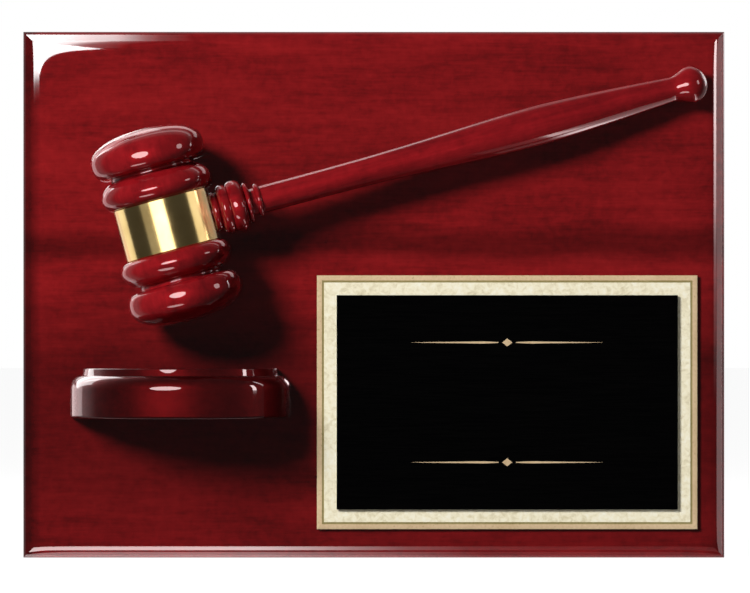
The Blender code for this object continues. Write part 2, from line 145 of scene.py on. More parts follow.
# Name plate
BORDER_SLOPE_WIDTH = 0.0022
BORDER_SLOPE_DROP = 0.00022
BORDER_EDGE_ROUND = 0.0002
BORDER_GROOVE_WIDTH = 0.0009
BORDER_GROOVE_DEPTH = 0.00015
PLATE_EDGE_ROUND = 0.0002
ORNAMENT_HALF_LENGTH = 0.042
ORNAMENT_HALF_HEIGHT = 0.00055
ORNAMENT_DIAMOND = 0.0022
ORNAMENT_DIAMOND_RISE = 0.00176
ORNAMENT_GAP = 0.0016
ORNAMENT_TAPER = 0.8
ORNAMENT_BLUNT = 0.35
ORNAMENT_SWELL = 4
ORNAMENT_RISE = 0.026
ORNAMENT_RELIEF = 0.00006
ORNAMENT_POINTS = 24

# Screws and hangers
RECESS_ARM = 0.62
RECESS_HALF_WIDTH = 0.12
RECESS_DEPTH = 0.55
RECESS_TAPER = 0.45
SHANK_SHARE = 0.52
PAN_HEAD_FLAT_SHARE = 0.55
SCREW_HEAD_HEIGHT = 0.0026
SCREW_TIP_LENGTH = 0.005
COUNTERBORE_DEPTH = 0.009
SCREW_HEAD_CLEARANCE = 0.0008
SCREW_CLEARANCE = 0.0003
THREAD_PITCH = 0.0014
THREAD_HEIGHT = 0.00022
THREAD_FOOT = 0.00077
THREAD_CREST = 0.00105
HANGER_GAP = 0.0003
HANGER_CORNER = 0.0022
HANGER_EDGE_ROUND = 0.0002
HANGER_SCREW_RADIUS = 0.0012
HANGER_SCREW_SINK = 0.0012
HANGER_SCREW_TIP = 0.003
KEYHOLE_ENTRY_RADIUS = 0.005
KEYHOLE_SLOT_WIDTH = 0.005
KEYHOLE_RISE = 0.01
POCKET_DEPTH = 0.008
POCKET_SIDE = 0.001
POCKET_CORNER_SHARE = 0.98

# Stage and light
FLOOR_HALF = 12
FLOOR_GLOW = 0.93
AMBIENT = 0.02
GLOSS_IN_FRONT = 0.06
GLOSS_BEHIND = 0.3
KEY_WAY = Vector((-0.79, -1.0, 0.59)).normalized()
KEY_DISTANCE = 2.4
CORNER_GLARE_Y = -0.62
CORNER_GLARE = 22
STRIP_GAP = 0.015
BEVEL_GAP = 0.245
BAND_PANEL = 0.6
RIM_PANEL = 0.8

# What gloss mirrors: its tint in the red lacquer, and (place along a panel, level)
ROSE = (1.0, 0.82, 0.82)
WHITE = (1.0, 1.0, 1.0)
RIGHT_STRIP = ((-0.047, 0.01), (-0.02, 0.6), (0.0, 1.2), (0.02, 2.4), (0.03, 4.2), (0.04, 6.8), (0.06, 10.5),
               (0.081, 16), (0.16, 20))
RIGHT_BEVEL = ((-0.3, 1.9), (0.3, 1.9))
LOW_STRIP = ((-0.18, 12), (-0.051, 12), (-0.033, 9), (-0.009, 4.5), (0.014, 1.7), (0.042, 0.6), (0.074, 0.3),
             (0.18, 0.25))
LOW_BEVEL = ((-0.4, 3.5), (-0.05, 3.3), (0.0, 1.8), (0.05, 0.35), (0.4, 0.2))
TOP_GLARE = ((-0.29, 22), (-0.175, 22), (-0.156, 18), (-0.1506, 13), (-0.1456, 8), (-0.1406, 4), (-0.1357, 2),
             (-0.13, 1.2), (-0.125, 0.7), (-0.116, 0.02))
ABOVE_GLARE = ((-0.29, 22), (-0.165, 22), (-0.15, 17), (-0.14, 13), (-0.1277, 10.5), (-0.1203, 6),
               (-0.113, 2.3), (-0.1056, 0.8), (-0.09, 0.02))
LEFT_GLARE = ((0.098, 0.05), (0.1014, 0.3), (0.1063, 1.4), (0.1088, 3), (0.1113, 5.8), (0.1139, 11),
              (0.1159, 14), (0.1189, 18), (0.125, 22), (0.35, 22))
HANDLE_GLARE = ((-0.08, 0.2), (-0.02, 0.3), (-0.008, 1), (0.001, 3), (0.012, 6.5), (0.035, 6.5), (0.05, 3.5),
                (0.06, 1.9), (0.09, 1.3), (0.14, 1.0))
BLOCK_GLARE = ((-0.007, 0.2), (0.001, 14), (0.2, 14))

# Facets
HEAD_STEPS = 144
HANDLE_STEPS = 96
BLOCK_STEPS = 256
SCREW_STEPS = 32
KEYHOLE_STEPS = 64
RIM_POINTS = 4
BAND_EDGE_POINTS = 5
BLOCK_EDGE_POINTS = 6
CORNER_POINTS = 6
ARC_POINTS = 12
CROWN_POINTS = 24
SHAFT_POINTS = 40
SHARP_EDGE = math.radians(32)
HOLDING_LOOP = 0.0002

# Worked out from the frame
BOARD_LOW, BOARD_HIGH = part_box("plaque_board")
BOARD_HALF_WIDTH = (BOARD_HIGH.x - BOARD_LOW.x) / 2
BOARD_HALF_HEIGHT = (BOARD_HIGH.z - BOARD_LOW.z) / 2
FRONT_Y = BOARD_LOW.y
BAND_LOW, BAND_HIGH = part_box("gavel_band")
HEAD_CENTRE = (BAND_LOW + BAND_HIGH) / 2
KNOB_SCREW = sum(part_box("knob_screw"), Vector()) / 2
KNOB_CENTRE = Vector((KNOB_SCREW.x, FRONT_Y - KNOB_RADIUS + KNOB_FLAT, KNOB_SCREW.z))
HANDLE_VECTOR = KNOB_CENTRE - HEAD_CENTRE
GAVEL_TURN = math.atan2(HANDLE_VECTOR.z, HANDLE_VECTOR.x)
GAVEL_MATRIX = Matrix.Translation(HEAD_CENTRE) @ Matrix.Rotation(-GAVEL_TURN, 4, "Y")
HANDLE_MATRIX = Matrix.Translation(HEAD_CENTRE) @ HANDLE_VECTOR.to_track_quat("Z", "Y").to_matrix().to_4x4()
GROOVE_RADIUS = BAND_RADIUS - BAND_WALL
GROOVE_HALF = BAND_WIDTH / 2
RIGHT, BACKWARD, UP = Vector((1, 0, 0)), Vector((0, 1, 0)), Vector((0, 0, 1))
BOARD_PIECE = ("board_lacquered",)
BOARD_SCREWS = ("head_screw_upper", "head_screw_lower", "knob_screw", "block_screw_left", "block_screw_right")
HANGER_SIDES = ("left", "right")
HANGER_ENDS = ("top", "bottom")
HANGER_SCREWS = [f"hanger_screw_{side}_{end}" for side in HANGER_SIDES for end in HANGER_ENDS]


# Mesh helpers


def new_object(name, bm, look=None):
    """An object in the scene from a bmesh, with its material."""
    mesh = bpy.data.meshes.new(name)
    bm.to_mesh(mesh)
    bm.free()
    if look:
        mesh.materials.append(look)
    obj = bpy.data.objects.new(name, mesh)
    bpy.context.scene.collection.objects.link(obj)
    return obj


def add_piece(name, bm, look, slot, *nodes, matrix=None):
    """A finished piece from a bmesh, riding on the one body and standing for its solids."""
    obj = new_object(name, bm, look)
    if matrix:
        obj.matrix_world = matrix
    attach(obj, "root")
    if nodes:
        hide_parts(*nodes)
    return obj


def shade(bm, limit=SHARP_EDGE):
    """Smooth faces, with creases where the surface turns sharply."""
    bm.normal_update()
    for face in bm.faces:
        face.smooth = True
    for edge in bm.edges:
        if edge.calc_face_angle(0) > limit:
            edge.smooth = False
    return bm


def lathe(profile, steps):
    """A closed body from (radius, height) points, top to bottom, turned about Z."""
    bm = bmesh.new()
    rings = []
    for radius, height in profile:
        if radius < 1e-7:
            rings.append([bm.verts.new((0, 0, height))])
            continue
        angles = [2 * math.pi * step / steps for step in range(steps)]
        rings.append([bm.verts.new((radius * math.cos(a), radius * math.sin(a), height)) for a in angles])
    for upper, lower in zip(rings, rings[1:]):
        for step in range(steps):
            after = (step + 1) % steps
            corners = [upper[step % len(upper)], lower[step % len(lower)],
                       lower[after % len(lower)], upper[after % len(upper)]]
            unique = list(dict.fromkeys(corners))
            if len(unique) > 2:
                bm.faces.new(unique)
    return bm


def mill_flat(bm, matrix):
    """Cuts off what lies behind the board's front and closes the flat."""
    to_local = matrix.inverted()
    point = to_local @ Vector((0, FRONT_Y, 0))
    normal = (to_local.to_3x3() @ Vector((0, 1, 0))).normalized()
    everything = bm.verts[:] + bm.edges[:] + bm.faces[:]
    bmesh.ops.bisect_plane(bm, geom=everything, plane_co=point, plane_no=normal, clear_outer=True)
    rim = [edge for edge in bm.edges if edge.is_boundary]
    bmesh.ops.holes_fill(bm, edges=rim, sides=0)
    return bm


def between(start, end, radius_share, height_share):
    """A point part of the way from start to end, both (radius, height)."""
    return start[0] + (end[0] - start[0]) * radius_share, start[1] + (end[1] - start[1]) * height_share


def quarter(points, end, count, radial_start, power=2.0):
    """Adds a quarter of a superellipse from the last point to end."""
    start = points[-1]
    for step in range(1, count + 1):
        angle = math.pi / 2 * step / count
        rising = math.sin(angle) ** (2 / power)
        falling = math.cos(angle) ** (2 / power) if step < count else 0
        radius_share, height_share = (rising, 1 - falling) if radial_start else (1 - falling, rising)
        points.append(between(start, end, radius_share, height_share))


def straight(points, end):
    """Adds a straight run to end, with a loop near each end of it to hold the shading."""
    start = points[-1]
    margin = HOLDING_LOOP / math.dist(start, end)
    points.extend([between(start, end, share, share) for share in (margin, 1 - margin, 1)])


def smooth(share):
    return share * share * (3 - 2 * share)


def ease(points, end, count):
    """Adds a smooth S to end that leaves and arrives along the height."""
    start = points[-1]
    for step in range(1, count + 1):
        share = step / count
        points.append(between(start, end, smooth(share), share))


def bead(points, bottom, radius):
    """Adds a round bead down to bottom, as wide as radius at its middle."""
    middle = (radius, (points[-1][1] + bottom[1]) / 2)
    quarter(points, middle, ARC_POINTS, True)
    quarter(points, bottom, ARC_POINTS, False)


def arc(centre, radius, start, end, count):
    """(inset, depth) points round centre, by the angle that the surface has turned from the front."""
    angles = [start + (end - start) * step / count for step in range(count + 1)]
    return [(centre[0] - radius * math.sin(angle), centre[1] - radius * math.cos(angle)) for angle in angles]


def turn_outward(bm):
    bmesh.ops.recalc_face_normals(bm, faces=bm.faces)


def bridge(bm, first, second):
    """Faces between two closed loops with as many points."""
    for step in range(len(first)):
        after = (step + 1) % len(first)
        bm.faces.new((first[step], second[step], second[after], first[after]))


def prism(bm, outline, front_y, back_y):
    """A closed prism over (x, z) points, from one y to another."""
    front, back = ([bm.verts.new((x, y, z)) for x, z in outline] for y in (front_y, back_y))
    bm.faces.new(front)
    bm.faces.new(back[::-1])
    bridge(bm, front, back)
    turn_outward(bm)


def rectangle_slab(centre, half_width, half_height, profile):
    """Nested rectangles of (inset, y), from the front's middle round the rim to the back."""
    bm = bmesh.new()
    rings = []
    holding = [(profile[0][0] + HOLDING_LOOP, profile[0][1])]
    for inset, y in holding + profile:
        x, z = half_width - inset, half_height - inset
        corners = ((-x, -z), (x, -z), (x, z), (-x, z))
        rings.append([bm.verts.new((centre.x + a, y, centre.z + b)) for a, b in corners])
    bm.faces.new(rings[0])
    bm.faces.new(rings[-1][::-1])
    for inner, outer in zip(rings, rings[1:]):
        bridge(bm, inner, outer)
        for corner in zip(inner, outer):
            bm.edges.get(corner).smooth = False
    turn_outward(bm)
    return bm


def rounded_rim(front_y, back_y, radius):
    """(inset, y) points of a sheet's edge: a round at the front, then straight to the back."""
    return arc((radius, front_y + radius), radius, 0, math.pi / 2, RIM_POINTS) + [(0, back_y)]


def cutter(bm, look=None):
    turn_outward(bm)
    return new_object("cutter", bm, look)


def carve(obj, tools):
    """Subtracts the tools from obj for good. Cut faces take the tools' own materials."""
    for tool in tools:
        modifier = obj.modifiers.new("carve", "BOOLEAN")
        modifier.operation = "DIFFERENCE"
        modifier.solver = "EXACT"
        modifier.material_mode = "TRANSFER"
        modifier.object = tool
    bpy.context.view_layer.update()
    carved = bpy.data.meshes.new_from_object(obj.evaluated_get(bpy.context.evaluated_depsgraph_get()))
    obj.modifiers.clear()
    obj.data = carved
    for tool in tools:
        bpy.data.objects.remove(tool, do_unlink=True)
    bm = bmesh.new()
    bm.from_mesh(carved)
    shade(bm)
    bm.to_mesh(carved)
    bm.free()


def box_mesh(low, high):
    bm = bmesh.new()
    bmesh.ops.create_cube(bm, size=1)
    low, high = Vector(low), Vector(high)
    bmesh.ops.scale(bm, vec=high - low, verts=bm.verts)
    bmesh.ops.translate(bm, vec=(low + high) / 2, verts=bm.verts)
    return bm


def rod(radius, reach):
    """Profile points of a plain rod that reaches as far to both sides."""
    return [(0, reach), (radius, reach), (radius, -reach), (0, -reach)]


def peg(profile, centre, steps=SCREW_STEPS):
    """A turned shape at centre's x and z, its heights measured from the board's back to the front."""
    bm = lathe(profile, steps)
    bm.transform(Matrix.Translation((centre.x, 0, centre.z)) @ Matrix.Rotation(math.pi / 2, 4, "X"))
    return bm


def measures(node):
    """A solid's centre, half its width and height, and the y of its front and back."""
    low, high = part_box(node)
    return (low + high) / 2, (high.x - low.x) / 2, (high.z - low.z) / 2, low.y, high.y


# Material helpers


class Nodes:
    """A node tree with short calls for adding and linking nodes."""

    def __init__(self, tree):
        self.tree = tree

    def feed(self, socket, value):
        """Links an output to a socket, or sets the socket to a number, a vector or a colour."""
        if hasattr(value, "is_linked"):
            self.tree.links.new(value, socket)
        else:
            socket.default_value = (*value, 1) if socket.type == "RGBA" else value

    def add(self, kind, sockets=(), **settings):
        """A new node with its settings and what its sockets take, by name or number."""
        node = self.tree.nodes.new(kind)
        for key, value in settings.items():
            setattr(node, key, value)
        for key, value in dict(sockets).items():
            self.feed(node.inputs[key], value)
        return node

    def axes(self, vector):
        return self.add("ShaderNodeSeparateXYZ", {0: vector}).outputs

    def spread(self, value, low, high, to_low=0.0, to_high=1.0):
        """Maps a value from one range to another, clamped."""
        sockets = {"Value": value, "From Min": low, "From Max": high, "To Min": to_low, "To Max": to_high}
        return self.add("ShaderNodeMapRange", sockets).outputs["Result"]

    def math(self, operation, *values):
        return self.add("ShaderNodeMath", enumerate(values), operation=operation).outputs["Value"]

    def weighted(self, *parts):
        """The sum of values, each times its weight."""
        total = 0.0
        for value, weight in parts:
            total = self.math("MULTIPLY_ADD", value, weight, total)
        return total

    def ramp(self, value, *stops):
        """Colours at positions: (position, (r, g, b)), ..."""
        node = self.add("ShaderNodeValToRGB", {"Fac": value})
        elements = node.color_ramp.elements
        while len(elements) < len(stops):
            elements.new(0.5)
        for element, (position, colour) in zip(elements, stops):
            element.position = position
            element.color = (*colour, 1)
        return node.outputs["Color"]

    def choose(self, factor, otherwise, chosen):
        """One of two shaders."""
        return self.add("ShaderNodeMixShader", {0: factor, 1: otherwise, 2: chosen}).outputs[0]


class Look(Nodes):
    """A material whose textures lie in the object's own coordinates."""

    def __init__(self, name):
        self.material = bpy.data.materials.new(name)
        self.material.use_nodes = True
        super().__init__(self.material.node_tree)
        self.shader = self.tree.nodes["Principled BSDF"]
        self.place = self.add("ShaderNodeTexCoord").outputs["Object"]

    def noise(self, repeats, detail=4, roughness=0.55, distortion=0.0):
        """Noise with so many repeats to the metre along each axis, or along all three."""
        repeats = repeats if isinstance(repeats, tuple) else (repeats, repeats, repeats)
        vector = self.add("ShaderNodeMapping", {"Vector": self.place, "Scale": repeats}).outputs["Vector"]
        sockets = {"Vector": vector, "Scale": 1, "Detail": detail, "Roughness": roughness}
        sockets["Distortion"] = distortion
        return self.add("ShaderNodeTexNoise", sockets).outputs["Fac"]

    def cells(self, repeats, **settings):
        sockets = {"Vector": self.place, "Scale": repeats}
        return self.add("ShaderNodeTexVoronoi", sockets, **settings).outputs

    def set(self, **values):
        """Sets or links sockets of the shader by name, with _ for a space."""
        for key, value in values.items():
            self.feed(self.shader.inputs[key.replace("_", " ")], value)

    def finish(self, colour, worn, roughness, relief, strength, depth, **values):
        """The material, with its roughness spread over one texture and another one raised."""
        self.set(Base_Color=colour, Roughness=self.spread(worn, 0.3, 0.7, *roughness), **values)
        raised = self.add("ShaderNodeBump", {"Strength": strength, "Distance": depth, "Height": relief})
        self.set(Normal=raised.outputs["Normal"])
        return self.material


def wood(name, colours, along, metallic=0.0, gloss=0.4, figure=None):
    """Stained rosewood under a clear gloss coat, its grain along the named axis of the object."""
    look = Look(name)
    dark, middle, light = colours

    def grain(length, width):
        return tuple(1 / (length if axis == along else width) for axis in "XYZ")

    fibres = look.noise(grain(0.013, 0.0011), 5, 0.6)
    streaks = look.noise(grain(0.045, 0.0048), distortion=0.5)
    clouds = look.noise(grain(0.07, 0.022), 3, distortion=0.3)
    pores = look.noise(grain(0.0045, 0.0004), 2)
    mottle = look.noise(260, 3, distortion=0.4)
    tone = look.weighted((fibres, 0.2), (streaks, 0.26), (clouds, 0.42), (mottle, 0.25))
    colour = look.ramp(tone, (0.4, dark), (0.56, middle), (0.73, light))
    filled = {0: look.spread(pores, 0.62, 0.76, 0.0, 0.22), 6: colour, 7: dark}
    colour = look.add("ShaderNodeMix", filled, data_type="RGBA").outputs[2]
    if figure:
        colour = figure(look, colour)
    look.set(Base_Color=colour, Roughness=look.spread(fibres, 0.3, 0.7, gloss - 0.06, gloss + 0.08))
    look.set(Metallic=metallic, Specular_IOR_Level=0.0)
    look.set(Coat_Weight=1.0, Coat_Roughness=0.025, Coat_IOR=1.55)
    return look.material


def board_figure(look, colour):
    """A dark vein and stain soaked into both ends of the veneer, and the colour darker over the lower part of
    the board.
    """
    x, _, z = look.axes(look.place)
    wander = look.noise((14, 14, 40), 3)
    height = look.math("ADD", z, look.spread(wander, 0.2, 0.8, -VEIN_WANDER, VEIN_WANDER))
    away = look.math("ABSOLUTE", look.math("SUBTRACT", height, VEIN_HEIGHT))
    start, full = BOARD_HALF_WIDTH - END_STAIN_REACH, BOARD_HALF_WIDTH - END_STAIN_FULL
    # The colour is darker over the lower part of the board and eases off again towards its bottom edge
    above = look.spread(height, *DARK_TOP, DARK_TONE, 1.0)
    under = look.spread(height, *DARK_BOTTOM, DARK_TONE, 1.0)
    tones = (
        look.spread(x, start, full, 1.0, END_STAIN_RIGHT),
        look.spread(x, -full, -start, END_STAIN_LEFT, 1.0),
        look.spread(away, VEIN_CORE, VEIN_HALF_WIDTH, VEIN_TONE, 1.0),
        look.math("MAXIMUM", above, under),
    )
    for tone in tones:
        scaled = look.add("ShaderNodeVectorMath", {0: colour, "Scale": tone}, operation="SCALE")
        colour = scaled.outputs["Vector"]
    return colour


def board_lacquer():
    colours = (0.08, 0.0026, 0.0034), (0.172, 0.0048, 0.0062), (0.25, 0.008, 0.0095)
    return wood("rosewood_lacquer", colours, "X", figure=board_figure)


def turned_lacquer():
    colours = (0.12, 0.003, 0.005), (0.23, 0.0055, 0.0085), (0.32, 0.009, 0.013)
    return wood("turned_rosewood", colours, "Z", 0.25, 0.42)


def block_lacquer():
    colours = (0.05, 0.0015, 0.002), (0.09, 0.0025, 0.0034), (0.125, 0.004, 0.005)
    return wood("block_rosewood", colours, "X", 0.85, 0.48)


def sealed_back():
    """The board's back: the same stain under a thin satin sealer."""
    look = Look("sealed_back")
    fibres = look.noise((45, 500, 700), 5)
    tone = look.weighted((fibres, 0.6), (look.noise((9, 30, 30), 3), 0.4))
    colour = look.ramp(tone, (0.35, (0.035, 0.006, 0.006)), (0.65, (0.095, 0.016, 0.014)))
    return look.finish(colour, fibres, (0.38, 0.52), fibres, 0.25, 0.0001)


def bare_core():
    """Fibreboard showing where the back was cut."""
    look = Look("bare_core")
    fluff = look.noise(1500)
    tone = look.weighted((fluff, 0.55), (look.noise(160, 3), 0.45))
    colour = look.ramp(tone, (0.3, (0.19, 0.11, 0.06)), (0.7, (0.36, 0.23, 0.13)))
    return look.finish(colour, fluff, (0.8, 0.95), fluff, 0.4, 0.0002)


def polished_brass():
    look = Look("polished_brass")
    lines = look.noise((60, 60, 9000), 3)
    tarnish = look.noise(90, distortion=0.4)
    colour = look.ramp(tarnish, (0.3, (0.7, 0.49, 0.19)), (0.7, (0.82, 0.6, 0.26)))
    return look.finish(colour, lines, (0.12, 0.19), lines, 0.06, 0.00004, Metallic=1.0)


def florentine_gold():
    """Pale gold sheet with the fine crumpled texture that trims award plates."""
    look = Look("florentine_gold")
    mottle = look.noise(420, 5, 0.6, 0.6)
    tone = look.weighted((mottle, 0.7), (look.noise(70, 3), 0.3))
    colour = look.ramp(tone, (0.34, (0.7, 0.62, 0.41)), (0.5, (0.9, 0.83, 0.61)), (0.66, (0.96, 0.92, 0.76)))
    crumple = look.math("ADD", look.cells(620, feature="SMOOTH_F1")["Distance"], mottle)
    return look.finish(colour, mottle, (0.3, 0.48), crumple, 0.35, 0.00015, Metallic=0.12)


def satin_gold(name, dark, light):
    """The plain satin gold of the plate's sloping edge, its groove and the engraved ornament."""
    look = Look(name)
    lines = look.noise(900)
    tone = look.weighted((lines, 0.5), (look.noise(60, 3), 0.5))
    colour = look.ramp(tone, (0.3, dark), (0.7, light))
    return look.finish(colour, lines, (0.26, 0.4), lines, 0.1, 0.00005, Metallic=0.15)


def black_lacquer():
    look = Look("black_lacquer")
    brushed = look.noise((70, 900, 2600))
    colour = look.ramp(brushed, (0.3, (0.0003, 0.0003, 0.0004)), (0.7, (0.0012, 0.0011, 0.0011)))
    clouds = look.noise(30, 3)
    return look.finish(colour, clouds, (0.06, 0.1), brushed, 0.02, 0.00002, Specular_IOR_Level=0.08)


def adhesive_sheet():
    look = Look("adhesive_sheet")
    foam = look.noise(1800, 3)
    colour = look.ramp(foam, (0.3, (0.62, 0.6, 0.55)), (0.7, (0.8, 0.78, 0.73)))
    return look.finish(colour, foam, (0.55, 0.75), foam, 0.3, 0.0001)


def zinc_steel():
    look = Look("zinc_steel")
    lines = look.noise((2200, 2200, 120), 3)
    tone = look.weighted((look.cells(380)["Color"], 0.4), (lines, 0.6))
    colour = look.ramp(tone, (0.25, (0.42, 0.42, 0.4)), (0.75, (0.68, 0.68, 0.65)))
    return look.finish(colour, lines, (0.26, 0.42), lines, 0.08, 0.00005, Metallic=1.0)


# Board


def edge_profile():
    """(inset, drop) from the end of the face, over the bevel and down the side to the back."""
    face_radius = FACE_ROUND / math.tan(math.pi / 8)
    side_radius = SIDE_ROUND / math.tan(math.pi / 8)
    points = []
    for centre, radius, start, end in (
        ((EDGE_BEVEL + FACE_ROUND, face_radius), face_radius, PILLOW_TILT, math.pi / 4),
        ((side_radius, EDGE_BEVEL + SIDE_ROUND), side_radius, math.pi / 4, math.pi / 2),
        ((BACK_ROUND, -FRONT_Y - BACK_ROUND), BACK_ROUND, math.pi / 2, math.pi),
    ):
        points += arc(centre, radius, start, end, ROUND_POINTS)
    return points


def pillow(distance):
    """How far the coat's face falls away near an edge."""
    return PILLOW_TILT * PILLOW_REACH * math.exp(-max(distance, 0) / PILLOW_REACH)


def face_lines(half):
    """Grid places from -half to half, close together near the edges."""
    near = [PILLOW_GRID * (step / PILLOW_LINES) ** 2 for step in range(PILLOW_LINES)]
    inner = half - PILLOW_GRID
    middle = [-inner + 2 * inner * step / FACE_LINES for step in range(FACE_LINES + 1)]
    return [-half + d for d in near] + middle + [half - d for d in reversed(near)]


def make_board():
    profile = edge_profile()
    face_inset, face_drop = profile[0]
    half_x = BOARD_HALF_WIDTH - face_inset
    half_z = BOARD_HALF_HEIGHT - face_inset
    xs, zs = face_lines(half_x), face_lines(half_z)
    bm = bmesh.new()

    def face_y(x, z):
        return FRONT_Y + pillow(half_x - abs(x)) + pillow(half_z - abs(z))

    grid = [[bm.verts.new((x, face_y(x, z), z)) for x in xs] for z in zs]
    for row, upper in zip(grid, grid[1:]):
        for step in range(len(xs) - 1):
            bm.faces.new((row[step], row[step + 1], upper[step + 1], upper[step]))

    rim = grid[0][:-1] + [row[-1] for row in grid[:-1]]
    rim += grid[-1][:0:-1] + [row[0] for row in grid[:0:-1]]
    total = profile[ROUND_POINTS + 1][1]
    loop = rim
    for inset, drop in profile[1:]:
        scale_x = (BOARD_HALF_WIDTH - inset) / half_x
        scale_z = (BOARD_HALF_HEIGHT - inset) / half_z
        settle = max(0.0, 1 - drop / total)
        following = []
        for vert in rim:
            lowered = (vert.co.y - FRONT_Y) * settle
            y = max(FRONT_Y + drop, FRONT_Y + drop - face_drop + lowered)
            following.append(bm.verts.new((vert.co.x * scale_x, y, vert.co.z * scale_z)))
        bridge(bm, loop, following)
        loop = following
    back = bm.faces.new(loop)
    turn_outward(bm)
    back.material_index = 1
    board = add_piece("board_lacquered", bm, board_lacquer(), "rosewood_lacquer", "plaque_board")
    board.data.materials.append(sealed_back())
    carve(board, board_cutters(bare_core()))


def board_cutters(core):
    """Counterbores and clearance holes for the screws, and the recesses of the hangers."""
    tools = []
    for node in BOARD_SCREWS:
        centre, head, _, tip_y, _ = measures(node)
        counterbore = head + SCREW_HEAD_CLEARANCE
        hole = head * SHANK_SHARE + SCREW_CLEARANCE
        stepped = [(0, -tip_y), (hole, -tip_y), (hole, COUNTERBORE_DEPTH), (counterbore, COUNTERBORE_DEPTH),
                   (counterbore, -COUNTERBORE_DEPTH), (0, -COUNTERBORE_DEPTH)]
        tools.append(cutter(peg(stepped, centre), core))
    for side in HANGER_SIDES:
        low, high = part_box(f"hanger_plate_{side}")
        gap = Vector((HANGER_GAP, 0, HANGER_GAP))
        floor = low.y - HANGER_GAP
        tools.append(cutter(rounded_box(low - gap, high + gap, HANGER_CORNER, floor, -floor), core))
        centre = (low + high) / 2
        half_width = KEYHOLE_ENTRY_RADIUS + POCKET_SIDE
        reach = Vector((half_width, 0, KEYHOLE_RISE / 2 + half_width))
        corner = half_width * POCKET_CORNER_SHARE
        pocket = rounded_box(centre - reach, centre + reach, corner, floor - POCKET_DEPTH, -floor)
        tools.append(cutter(pocket, core))
    for node in HANGER_SCREWS:
        centre, _, _, tip_y, _ = measures(node)
        hole = rod(HANGER_SCREW_RADIUS + SCREW_CLEARANCE, SCREW_CLEARANCE - tip_y)
        tools.append(cutter(peg(hole, centre), core))
    return tools


def rounded_box(low, high, corner, front_y, back_y):
    """A prism with round corners in the XZ plane, from one y to another."""
    outline = []
    for cx, cz, start in ((high.x - corner, high.z - corner, 0), (low.x + corner, high.z - corner, 1),
                          (low.x + corner, low.z + corner, 2), (high.x - corner, low.z + corner, 3)):
        for step in range(CORNER_POINTS + 1):
            angle = math.pi / 2 * (start + step / CORNER_POINTS)
            outline.append((cx + corner * math.cos(angle), cz + corner * math.sin(angle)))
    bm = bmesh.new()
    prism(bm, outline, front_y, back_y)
    return bm


# Gavel


def head_profile():
    bead_z = GROOVE_HALF + BEAD_INNER_HALF
    neck_start = bead_z + BEAD_OUTER_HALF
    neck_end = neck_start + HEAD_NECK_WIDTH
    widest = neck_end + HEAD_SHOULDER
    upper = [(0, widest + HEAD_CROWN)]
    quarter(upper, (HEAD_RADIUS, widest), CROWN_POINTS, True, CROWN_POWER)
    quarter(upper, (HEAD_NECK_RADIUS, neck_end), ARC_POINTS, False, SHOULDER_POWER)
    cove = (HEAD_NECK_RADIUS - HEAD_NECK_DEPTH, (neck_start + neck_end) / 2)
    quarter(upper, cove, ARC_POINTS, True)
    quarter(upper, (HEAD_NECK_RADIUS, neck_start), ARC_POINTS, False)
    quarter(upper, (BEAD_RADIUS, bead_z), ARC_POINTS, True, BEAD_POWER)
    quarter(upper, (GROOVE_RADIUS, GROOVE_HALF), ARC_POINTS, False)
    return upper + [(radius, -height) for radius, height in reversed(upper)]


def make_head(look):
    bm = shade(mill_flat(lathe(head_profile(), HEAD_STEPS), GAVEL_MATRIX))
    add_piece("head_turned", bm, look, "turned_rosewood", "gavel_head", matrix=GAVEL_MATRIX)


def make_band():
    half, inner = GROOVE_HALF, GROOVE_RADIUS
    profile = [(inner, half), (BAND_RADIUS - BAND_EDGE_ROUND, half)]
    quarter(profile, (BAND_RADIUS, half - BAND_EDGE_ROUND), BAND_EDGE_POINTS, True)
    straight(profile, (BAND_RADIUS, -half + BAND_EDGE_ROUND))
    quarter(profile, (BAND_RADIUS - BAND_EDGE_ROUND, -half), BAND_EDGE_POINTS, False)
    profile += [(inner, -half), (inner, half)]
    bm = lathe(profile, HEAD_STEPS)
    bmesh.ops.remove_doubles(bm, verts=bm.verts, dist=1e-7)
    turn_outward(bm)
    look = polished_brass()
    add_piece("band_polished", shade(bm), look, "polished_brass", "gavel_band", matrix=GAVEL_MATRIX)


def shaft_radius(height, start, neck):
    widest = neck - SWELL_TO_NECK
    if height < widest:
        share = (height - start) / (widest - start)
        return SHAFT_RADIUS + (SWELL_RADIUS - SHAFT_RADIUS) * smooth(share) ** SWELL_POWER
    share = (height - widest) / SWELL_TO_NECK
    return SWELL_RADIUS + (KNOB_NECK_RADIUS - SWELL_RADIUS) * share ** TAPER_POWER


